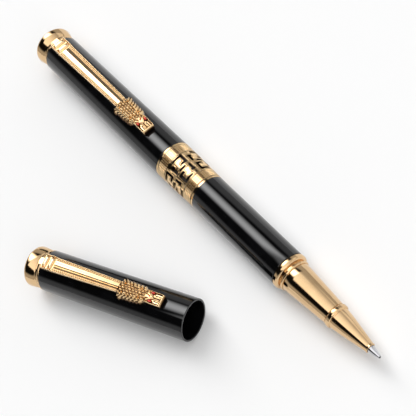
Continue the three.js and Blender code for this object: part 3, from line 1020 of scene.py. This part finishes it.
@dataclass
class CarvedBand:
    """The gold sleeve pierced with a key fret, with hatched panels and plain rims.

    Attributes:
        seat: The pen's axis.
        start: Its rear end.
        end: Its front end.
        repeats: Repeats of the fret round the sleeve.
        fret: Start of the fret from the sleeve's rear end.
        reach: Length of the fret.
        slots: Slots of one half of a repeat as (from, to) along and (from, to) round.
    """

    seat: Seat
    start: float = 70.35
    end: float = 87.95
    rear_radius: float = 6.5
    front_radius: float = 6.12
    bore: float = 5.4
    floor: float = 5.46
    rim: float = 0.75
    repeats: int = 6
    fret: float = 4.5
    reach: float = 8.6
    slots: tuple[tuple[float, float, float, float], ...] = (
        (0.0, 0.8, -2.6, 1.0),
        (0.0, 3.4, -2.6, -1.8),
        (2.6, 3.4, -2.6, -0.4),
        (1.4, 2.2, 1.5, 3.0),
        (2.2, 4.0, 2.0, 2.8),
    )
    window: tuple[float, float, float, float] = (3.9, 4.7, -1.2, 1.2)
    grid: float = 0.72

    def build(self) -> None:
        """Makes and dresses the band."""
        fit("band_pierced", self._sleeve(), CARVED_GOLD, self.seat.matrix(), "carved_band", crease=35)

    def _all_slots(self) -> list[tuple[float, float, float, float]]:
        """Every slot round the sleeve, as distances from its rear end and round it."""
        turned = [(self.reach - b, self.reach - a, -d, -c) for a, b, c, d in self.slots]
        one = [*self.slots, *turned, self.window]
        step = 2 * math.pi * self.rear_radius / self.repeats
        return [
            (self.fret + a, self.fret + b, c + k * step, d + k * step)
            for k in range(self.repeats)
            for a, b, c, d in one
        ]

    def _sleeve(self) -> Surface:
        """The sleeve as rings of points, lowered where it is cut, with painted shade in the cuts and
        grooves.
        """
        length = self.end - self.start
        round_length = 2 * math.pi * self.rear_radius
        slots = self._all_slots()
        wall = 0.02
        edges_along = [e + s for slot in slots for e in slot[:2] for s in (-wall, wall)]
        edges_round = [
            np.mod(e + s, round_length) for slot in slots for e in slot[2:] for s in (-wall, wall)
        ]
        step = self.grid / 8
        along = np.concatenate([np.arange(0, length, step), [length], edges_along])
        around = np.concatenate([np.arange(0, round_length - step / 2, step), edges_round])
        along, around = (np.unique(np.round(places, 3)) for places in (along, around))
        x, s = np.meshgrid(along, around, indexing="ij")
        away = self._from_slots(x, s, slots, round_length)
        cut = away <= 0
        outline = 0.10 * dome((away - 0.34) / 0.11)
        depth = np.maximum.reduce([self._lines(x, length), self._hatching(x, s, length), outline])
        outer = self.rear_radius + (self.front_radius - self.rear_radius) * x / length
        radius = np.where(cut, self.floor, outer - depth)
        # Painted shade: full in the cut slots and the deep dividing grooves, partial in the hatching and
        # along the slot edges.
        relief = np.where(cut, 0.0, np.clip(1 - depth / 0.12, 0, 1) * np.clip(away / 0.06, 0.1, 1))
        bore = np.full((1, len(around)), self.bore)
        rows_x = np.concatenate([x, x[-1:], x[:1]]) + self.start
        rows_r = np.concatenate([radius, bore, bore])
        rows_relief = np.concatenate([relief, np.ones((2, len(around)))])
        angle = np.concatenate([s, s[:1], s[:1]]) / self.rear_radius
        rows = np.stack([rows_x, -rows_r * np.sin(angle), rows_r * np.cos(angle)], -1)
        return Surface.woven(rows, rows_relief)

    @staticmethod
    def _from_slots(
        x: Grid, s: Grid, slots: Sequence[tuple[float, float, float, float]], round_length: float
    ) -> Grid:
        """Distance of each place from the nearest slot.

        Args:
            x: Distances from the sleeve's rear end.
            s: Distances round the sleeve.
            slots: Every slot as (from, to) along and (from, to) round.
            round_length: Length once round the sleeve.

        Returns:
            The distance, 0 inside a slot.
        """
        nearest = np.full_like(x, round_length)
        for a, b, c, d in slots:
            beside = np.mod(s - (c + d) / 2 + round_length / 2, round_length) - round_length / 2
            gap_round = np.maximum(np.abs(beside) - (d - c) / 2, 0)
            gap_along = np.maximum(np.abs(x - (a + b) / 2) - (b - a) / 2, 0)
            nearest = np.minimum(nearest, np.hypot(gap_round, gap_along))
        return nearest

    def _lines(self, x: Grid, length: float) -> Grid:
        """Depth of the thin grooves that divide rims, panels and fret."""
        depth = np.zeros_like(x)
        for place in (self.rim, self.fret - 0.35, self.fret + self.reach + 0.35, length - self.rim):
            depth = np.maximum(depth, 0.14 * dome((x - place) / 0.13))
        return depth

    def _hatching(self, x: Grid, s: Grid, length: float) -> Grid:
        """Depth of the fine grid of grooves on the two end panels."""
        margin = self.rim + 0.2
        panel = ((x > margin) & (x < self.fret - 0.55)) | (
            (x > self.fret + self.reach + 0.55) & (x < length - margin)
        )
        half = self.grid / 8
        away = np.minimum(
            *(np.abs(np.mod(place + self.grid / 2, self.grid) - self.grid / 2) for place in (x, s))
        )
        return np.where(panel, 0.10 * np.clip(1 - away / half, 0, 1), 0.0)


@dataclass
class Barrel:
    """The lacquered barrel with its inner bush, the core under the band, and the tail.

    Attributes:
        seat: The pen's axis.
        tail: Rear end of the tail tube.
        band: Rear end of the band.
        start: Rear end of the barrel.
        nose: Front end of the barrel.
    """

    seat: Seat
    tail: float = 34.0
    band: float = 70.3
    start: float = 88.0
    nose: float = 124.6
    rear_radius: float = 6.12
    front_radius: float = 5.78
    bore: float = 5.0
    tail_radius: float = 5.75
    tail_bore: float = 4.5
    core_radius: float = 5.5
    core_bore: float = 3.6

    def build(self) -> None:
        """Makes and dresses the barrel's pieces."""
        seal = Surface.turned(arc(self.nose - 0.75, 4.58, 0.27, 0, 330, 11), 96)
        parts = (
            ("barrel_lacquered", self._barrel(), LACQUER, "front_barrel"),
            ("core_turned", self._core(), LACQUER, "band_core"),
            ("tail_turned", self._tail(), BLACK_PLASTIC, "tail_tube"),
            ("tail_plug_moulded", self._plug(), BLACK_PLASTIC, "tail_plug"),
            ("bush_threaded", self._bush(), BRASS, "barrel_insert"),
            ("seal_ring", seal, RUBBER, "section_seal"),
        )
        fit_all(parts, self.seat.matrix())

    def _barrel(self) -> Surface:
        """Tube, tapering forward."""
        return Surface.turned(
            softened(
                [
                    (self.start + 0.03, self.bore, 0), (self.nose - 0.05, self.bore, 0),
                    (self.nose - 0.05, self.front_radius, 0.15),
                    (self.start + 0.03, self.rear_radius, 0.06),
                ]
            )
        )

    def _core(self) -> Surface:
        """Tube under the band, with a spigot at each end."""
        spigot = 8.0
        return Surface.turned([
            (self.band - spigot, self.core_bore), (self.start + spigot, self.core_bore),
            (self.start + spigot, self.bore - 0.05), (self.start, self.bore - 0.05),
            (self.start, self.core_radius), (self.band, self.core_radius),
            (self.band, self.tail_bore - 0.05), (self.band - spigot, self.tail_bore - 0.05),
        ])

    def _tail(self) -> Surface:
        """Tail tube that the rear shell slides over, with two slim friction ridges."""
        front = self.band - 0.05
        outline = [(self.tail, self.tail_bore), (front, self.tail_bore), (front, self.tail_radius)]
        for ridge in (front - 6.0, front - 9.0):
            outline += arc(ridge, self.tail_radius - 0.35, 0.45, 50, 130, 6)
        chamfer = [(self.tail + 0.3, self.tail_radius), (self.tail, self.tail_radius - 0.2)]
        return Surface.turned([*outline, *chamfer])

    def _plug(self) -> Surface:
        """Plug that closes the tail and seats the spring."""
        inner = self.tail_bore - 0.05
        seat = self.tail + 5
        return Surface.turned([
            (self.tail - 1.2, 0),
            *arc(self.tail - 0.7, self.tail_radius - 0.5, 0.5, 180, 90, 8),
            (self.tail - 0.05, self.tail_radius), (self.tail - 0.05, inner), (seat, inner),
            (seat, 1.2), (seat + 2.7, 1.2), (seat + 3, 0.9), (seat + 3, 0),
        ])

    def _bush(self) -> Surface:
        """Threaded bush in the barrel's mouth."""
        rear, front, outer, crest = self.nose - 11, self.nose - 1.3, self.bore - 0.05, 4.3
        outline = [(front, outer), (rear, outer), (rear, crest + 0.2)]
        for place in np.arange(rear + 0.4, front - 0.6, 0.8):
            outline += [(place, crest + 0.18), (place + 0.4, crest + 0.02)]
        return Surface.turned([*outline, (front, crest + 0.2)])


@dataclass
class NoseSection:
    """The gold writing end: rings, grip, mid ring and nose cone, with its threaded sleeve.

    Attributes:
        seat: The pen's axis.
        start: Its rear end.
        tip: The writing tip's end.
    """

    seat: Seat
    start: float = 124.6
    tip: float = 161.6
    ring_length: float = 1.9
    shoulder: float = 3.3
    thread_radius: float = 4.2
    spigot: float = 2.75

    def build(self) -> None:
        """Makes and dresses the nose section's pieces."""
        parts = (
            ("nose_ring_turned", self._nose_ring(), GOLD, "nose_ring"),
            ("shoulder_turned", self._shoulder_ring(), GOLD, "shoulder_ring"),
            ("grip_turned", self._grip(), GOLD, "grip_section"),
            ("mid_bead_turned", self._mid_ring(), GOLD, "mid_ring"),
            ("cone_turned", self._cone(), GOLD, "nose_cone"),
            ("sleeve_threaded", self._sleeve(), BRASS, "section_thread"),
        )
        fit_all(parts, self.seat.matrix())

    def _nose_ring(self) -> Surface:
        """Wide ring with a full round front edge."""
        start, end = self.start + 0.05, self.start + self.ring_length
        top, half = 5.92, 0.9
        return Surface.turned([
            (start, self.thread_radius + 0.05), (end, self.thread_radius + 0.05),
            (end, top - half), *arc(end - half, top - half, half, 0, 90, 14),
            *softened([(start + 0.3, top, 0), (start, top - 0.25, 0.1)]),
        ])

    def _shoulder_ring(self) -> Surface:
        """A groove, then a small bead in front of it."""
        start, end = self.start + self.ring_length + 0.03, self.start + self.shoulder
        bead = 0.42
        return Surface.turned([
            (start, self.thread_radius + 0.05), (end, self.thread_radius + 0.05),
            *arc(end - bead, 4.8, bead, 0, 180, 16), (end - 2 * bead - 0.05, 4.66),
            (start, 4.66),
        ])

    def _grip(self) -> Surface:
        """Long smooth taper."""
        start, front = self.start + self.shoulder + 0.03, self.tip - 17.85
        taper = [(18.4, 3.64), (20.8, 3.85), (24.7, 4.16), (28.8, 4.48), (31.5, 4.7)]
        return Surface.turned([
            (start, self.thread_radius + 0.05), (start + 4, self.thread_radius + 0.05),
            (start + 4, 3.3), (front - 5, 3.3), (front - 4, self.spigot + 0.05),
            (front, self.spigot + 0.05), (front, 3.6),
            *[(self.tip - back, radius) for back, radius in taper], (start + 0.25, 4.86),
            (start, 4.78),
        ])

    def _mid_ring(self) -> Surface:
        """Bead between grip and cone."""
        start, end, half = self.tip - 17.83, self.tip - 15.97, 0.42
        middle = (start + end) / 2
        return Surface.turned([
            (start, self.spigot + 0.05), (end, self.spigot + 0.05), (end, 3.3),
            (end - 0.25, 3.42), *arc(middle + 0.34, 3.46, half, 10, 90, 8),
            *arc(middle - 0.34, 3.46, half, 90, 170, 8), (start + 0.2, 3.5), (start, 3.45),
        ])

    def _cone(self) -> Surface:
        """Slightly bowed cone with a small lip at its hole."""
        rear, front = self.tip - 15.95, self.tip - 3.7
        hole = 1.27
        back = self.tip - 21.35
        bow = [(4.15, 1.50), (4.6, 1.55), (6.6, 1.93), (8.9, 2.35), (10.9, 2.71), (12.8, 3.04), (14.6, 3.30)]
        return Surface.turned([
            (back, 2.22), (self.tip - 10.6, 2.22), (self.tip - 8.2, hole), (front, hole),
            *arc(front - 0.16, 1.42, 0.16, 0, 90, 6),
            *[(self.tip - b, radius) for b, radius in bow], (rear + 0.1, 3.42), (rear, 3.34),
            (rear, self.spigot), (back, self.spigot),
        ])

    def _sleeve(self) -> Surface:
        """Threaded sleeve that screws into the barrel's bush."""
        rear, front = self.start - 8, self.start + self.shoulder + 3.5
        bore, crest, root = 3.4, self.thread_radius, 3.98
        outline = [
            (rear, bore), (front, bore), (front, crest), (self.start - 0.6, crest), (self.start - 0.7, root)
        ]
        for place in np.arange(self.start - 1.3, rear + 0.4, -0.8):
            outline += [(place + 0.4, root), (place + 0.08, crest), (place - 0.08, crest)]
        return Surface.turned([*outline, (rear, root)])


@dataclass
class Refill:
    """The ink refill with its tip, ball and spring.

    Attributes:
        seat: The pen's axis.
        tip: The writing tip's end.
        length: The refill's length.
        spring_seat: Front face of the plug behind the spring.
    """

    seat: Seat
    tip: float = 161.6
    length: float = 110.5
    radius: float = 3.1
    bore: float = 2.7
    ball: float = 0.36
    spring_seat: float = 39.0
    wire: float = 0.25
    push: float = 0.8

    def build(self) -> None:
        """Makes and dresses the refill's pieces."""
        place = self.seat.matrix()
        rear = self.tip - self.length
        middle = self.tip - 26
        rod = self.bore - 0.15
        start = rear + 1.2
        tube = [(start, self.bore), (middle, self.bore), (middle, self.radius), (start, self.radius)]
        core = [(rear + 7, 0), (rear + 7, rod), (self.tip - 32, rod), (self.tip - 32, 0)]
        parts = (
            ("refill_barrel", Surface.turned(tube, 96), STEEL, "refill_tube"),
            ("refill_end_plug", self._plug(rear), WHITE_PLASTIC, "refill_plug"),
            ("refill_ink_rod", Surface.turned(core, 64), INK, "refill_ink_core"),
            ("refill_tip_holder", self._collar(), WHITE_PLASTIC, "refill_collar"),
            ("refill_point", self._point(), STEEL, "refill_tip"),
            ("refill_ball", self._writing_ball(), CARBIDE, "writing_ball"),
        )
        fit_all(parts, place)
        self._spring(place, rear)

    def _plug(self, rear: float) -> Surface:
        """Plug in the refill's rear end."""
        return Surface.turned(
            [
                (rear, 0), *arc(rear + 0.4, self.radius - 0.4, 0.4, 180, 90, 6),
                (rear + 1.15, self.radius), (rear + 1.15, self.bore - 0.05),
                (rear + 5, self.bore - 0.05), (rear + 5, 0),
            ],
            96,
        )

    def _collar(self) -> Surface:
        """Plastic holder that carries the point."""
        corners = (
            (30, 1.2, 0), (8.9, 1.2, 0), (9.3, 1.5, 0.1), (11.0, 2.1, 0.2), (21.6, 2.1, 0.3),
            (23.4, 2.85, 0.3), (24, 3.1, 0.1), (25.95, 3.1, 0), (25.95, self.bore - 0.05, 0),
            (30, self.bore - 0.05, 0.2),
        )
        return self._from_tip(corners)

    def _point(self) -> Surface:
        """Steel point with the socket that holds the ball."""
        corners = (
            (28, 0, 0), (28, 1.15, 0.1), (3.15, 1.15, 0.06), (2.95, 1.05, 0.05), (1.6, 0.80, 0.3),
            (0.50, 0.50, 0.1), (0.30, 0.42, 0.03), (0.32, 0.38, 0), (0.95, 0.38, 0), (0.95, 0, 0),
        )
        return self._from_tip(corners)

    def _from_tip(self, corners: Sequence[Corner]) -> Surface:
        """Turns an outline whose corners are (distance behind the tip, radius, rounding)."""
        outline = softened([(self.tip - back, radius, size) for back, radius, size in corners])
        return Surface.turned(outline, 96)

    def _writing_ball(self) -> Surface:
        """The ball, a hair inside the tip's end."""
        size = 2 * self.ball
        return Surface.ball((self.tip - self.ball - 0.005, 0, 0), (size, size, size))

    def _spring(self, place: Matrix, rear: float) -> None:
        """The spring between tail plug and refill.

        Args:
            place: The pen's placement.
            rear: Rear end of the refill.
        """
        start = self.spring_seat + self.wire + 0.15
        end = rear - self.wire - 0.15
        coils, coil_radius = 5, 2.2
        turn = np.linspace(0, 2 * math.pi * coils, 48 * coils)
        ring = np.linspace(0, 2 * math.pi, 12, endpoint=False)
        wire = np.full_like(turn, self.wire)
        wire[[0, -1]] = 0
        out = coil_radius + np.outer(wire, np.cos(ring))
        along = np.interp(turn, turn[[0, -1]], [start, end])[:, None] + np.outer(wire, np.sin(ring))
        rows = np.stack([along, out * np.cos(turn)[:, None], out * np.sin(turn)[:, None]], -1)
        spring = fit("spring_wound", Surface.woven(rows, ring=False), STEEL, place, "refill_spring")
        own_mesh(spring)


# ---------------------------------------------------------------- studio


@dataclass
class Studio:
    """Floor, sky and camera.

    Attributes:
        azimuth: Direction of the camera round the object in degrees.
        elevation: Its height in degrees.
        roll: Its turn about its own line of sight in degrees.
        distance: From the aim, in metres.
        lens: Focal length in millimetres.
        aim: The aim from the middle of the object's footprint, in metres.
        floor_size: Length of the floor's sides, in metres.
        floor_colour: Brightness of the floor's paint.
        softbox: Strength of the light overhead.
        panel: Strength of the light on the near side.
        cove: Strength of the pale band low down.
        gloom: Strength of the dark between them.
    """

    azimuth: float = 63.0
    elevation: float = 58.4
    roll: float = -43.34
    distance: float = 0.2997
    lens: float = 84.39
    aim: tuple[float, float, float] = (0.00621, -0.00195, 0.0)
    floor_size: float = 6.0
    floor_colour: float = 0.89
    softbox: float = 5.2
    panel: float = 1.55
    cove: float = 0.47
    gloom: float = 0.005

    def build(self) -> None:
        """Makes the floor, the sky and the camera."""
        self._floor()
        self._sky()
        self._camera()
        bpy.context.scene.view_settings.view_transform = "Standard"

    def _floor(self) -> None:
        """A plain pale floor with a faint mottling."""
        half = self.floor_size / 2
        low = CAD_BOX[0].z
        mesh = bpy.data.meshes.new("floor")
        corners = [(-half, -half, low), (half, -half, low), (half, half, low), (-half, half, low)]
        mesh.from_pydata(corners, [], [(0, 1, 2, 3)])
        floor = bpy.data.objects.new("floor", mesh)
        bpy.context.scene.collection.objects.link(floor)
        material = bpy.data.materials.new("studio_floor")
        material.use_nodes = True
        tree = material.node_tree
        shader = tree.nodes["Principled BSDF"]
        shader.inputs["Roughness"].default_value = 0.6
        shader.inputs["Specular IOR Level"].default_value = 0.2
        noise = tree.nodes.new("ShaderNodeTexNoise")
        noise.inputs["Scale"].default_value = 40.0
        ramp = tree.nodes.new("ShaderNodeValToRGB")
        for element, tone in zip(ramp.color_ramp.elements, (self.floor_colour - 0.01, self.floor_colour)):
            element.color = (tone, tone, tone, 1)
        tree.links.new(noise.outputs["Fac"], ramp.inputs["Fac"])
        tree.links.new(ramp.outputs["Color"], shader.inputs["Base Color"])
        mesh.materials.append(material)

    def _heading(self) -> tuple[Vector, Vector]:
        """The camera's forward and rightward directions, level with the floor."""
        turn = math.radians(self.azimuth)
        away = Vector((-math.sin(turn), math.cos(turn), 0))
        return away, Vector((math.cos(turn), math.sin(turn), 0))

    def _sky(self) -> None:
        """A dark studio with one long softbox overhead and a pale cove low down."""
        world = bpy.data.worlds.new("studio")
        bpy.context.scene.world = world
        world.use_nodes = True
        tree = world.node_tree
        links = tree.links
        away, side = self._heading()
        direction = tree.nodes.new("ShaderNodeTexCoord").outputs["Generated"]

        def dot(axis: Vector) -> Socket:
            """Share of the direction along an axis."""
            node = tree.nodes.new("ShaderNodeVectorMath")
            node.operation = "DOT_PRODUCT"
            node.inputs[1].default_value = axis
            links.new(direction, node.inputs[0])
            return node.outputs["Value"]

        def math_of(operation: str, first: object, second: object) -> Socket:
            """A sum, product or quotient of sockets or numbers."""
            node = tree.nodes.new("ShaderNodeMath")
            node.operation = operation
            for socket, value in zip(node.inputs, (first, second)):
                if isinstance(value, (int, float)):
                    socket.default_value = value
                else:
                    links.new(value, socket)
            return node.outputs["Value"]

        def step(value: Socket, start: float, end: float) -> Socket:
            """A smooth step from 0 at start to 1 at end."""
            node = tree.nodes.new("ShaderNodeMapRange")
            node.interpolation_type = "SMOOTHSTEP"
            node.inputs["From Min"].default_value = min(start, end)
            node.inputs["From Max"].default_value = max(start, end)
            node.inputs["To Min"].default_value = 0.0 if start < end else 1.0
            node.inputs["To Max"].default_value = 1.0 if start < end else 0.0
            links.new(value, node.inputs["Value"])
            return node.outputs["Result"]

        lowest = 0.05
        height = dot(Vector((0, 0, 1)))
        safe = math_of("MAXIMUM", height, lowest)
        sideways = math_of("DIVIDE", dot(side), safe)
        onward = math_of("DIVIDE", dot(away), safe)
        skew = math_of("SUBTRACT", onward, math_of("MULTIPLY", sideways, 0.15))

        def panel(edges: Sequence[tuple[Socket, float, float]]) -> Socket:
            """The part of the sky that lies inside every soft edge."""
            inside = step(*edges[0])
            for edge in edges[1:]:
                inside = math_of("MULTIPLY", inside, step(*edge))
            return inside

        cove_slope = 0.085
        rim = math_of("SUBTRACT", height, math_of("MULTIPLY", dot(side), cove_slope))
        overhead = (
            (height, 0.20, 0.28), (sideways, -0.36, 0.10), (sideways, 0.85, 0.15),
            (onward, 3.8, 2.9), (onward, 0.34, 0.42),
        )
        nearby = ((height, 0.05, 0.15), (sideways, -0.62, -0.50), (skew, 0.40, 0.32))
        faintest = 0.32
        fall = math_of("MULTIPLY", step(sideways, 1.5, -0.45), 1 - faintest)
        falling = math_of("ADD", fall, faintest)
        glow = math_of("MULTIPLY", panel(overhead), self.softbox)
        parts = (
            (math_of("MULTIPLY", panel(nearby), falling), self.panel),
            (step(rim, 0.56, 0.36), self.cove),
        )
        for part, strength in parts:
            glow = math_of("ADD", glow, math_of("MULTIPLY", part, strength))
        background = tree.nodes["Background"]
        links.new(math_of("ADD", glow, self.gloom), background.inputs["Strength"])
        background.inputs["Color"].default_value = (1, 1, 1, 1)

    def _camera(self) -> None:
        """The camera, rolled so that the pen runs from corner to corner."""
        away, side = self._heading()
        tilt = math.radians(self.elevation)
        forward = away * math.cos(tilt) - Vector((0, 0, math.sin(tilt)))
        upright = side.cross(forward)
        roll = math.radians(self.roll)
        right = side * math.cos(roll) + upright * math.sin(roll)
        up = upright * math.cos(roll) - side * math.sin(roll)
        low, high = CAD_BOX
        centre = Vector(((low.x + high.x) / 2, (low.y + high.y) / 2, low.z))
        camera = bpy.data.objects.new("camera", bpy.data.cameras.new("camera"))
        camera.data.lens = self.lens
        axes = Matrix((right, up, -forward)).transposed().to_4x4()
        camera.matrix_world = Matrix.Translation(centre + Vector(self.aim) - forward * self.distance) @ axes
        bpy.context.scene.collection.objects.link(camera)
        bpy.context.scene.camera = camera


# ---------------------------------------------------------------- assembly


def pen_seat(nose: float) -> Seat:
    """Finds the pen's axis from the joint that unscrews its nose section.

    Args:
        nose: Distance of the joint's point from the pen's rear rim, in millimetres.

    Returns:
        Where the pen's rear rim lies.
    """
    joint = next(j for j in frame["joints"] if j["name"] == "section_unscrew")
    direction = Vector(joint["axis"]).normalized()
    return Seat(Vector(joint["pos_m"]) - direction * nose * MM, direction)


def cap_seat(tube_start: float) -> Seat:
    """Finds the loose cap's axis from its tube.

    Args:
        tube_start: Distance of the tube's rear end from the cap's rear rim, in millimetres.

    Returns:
        Where the cap's rear rim lies.
    """
    low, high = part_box("cap_shell_tube")
    middle = (low + high) / 2
    return Seat(Vector((low.x - tube_start * MM, middle.y, middle.z)), Vector((1, 0, 0)))


def main() -> None:
    """Builds the pen, the loose cap and the studio."""
    pen = pen_seat(nose=124.6)
    cap = cap_seat(tube_start=6.25)
    assemblies = (
        Shell("rear", pen, 70.25, 9.0, -10.0, Clip("rear", 8.0, 13.0, 45.4, 61.2, 1.0, ribbed=False), 6.95),
        Shell("cap", cap, 58.6, 7.5, -7.0, Clip("cap", 7.4, 11.6, 35.6, 51.2, 0.9, ribbed=True), 6.5),
        CarvedBand(pen),
        Barrel(pen),
        NoseSection(pen),
        Refill(pen),
        Studio(),
    )
    for assembly in assemblies:
        assembly.build()
        LOG.info("built %s", type(assembly).__name__)


if __name__ == "__main__":
    logging.basicConfig(level=logging.INFO, format="%(message)s")
    main()
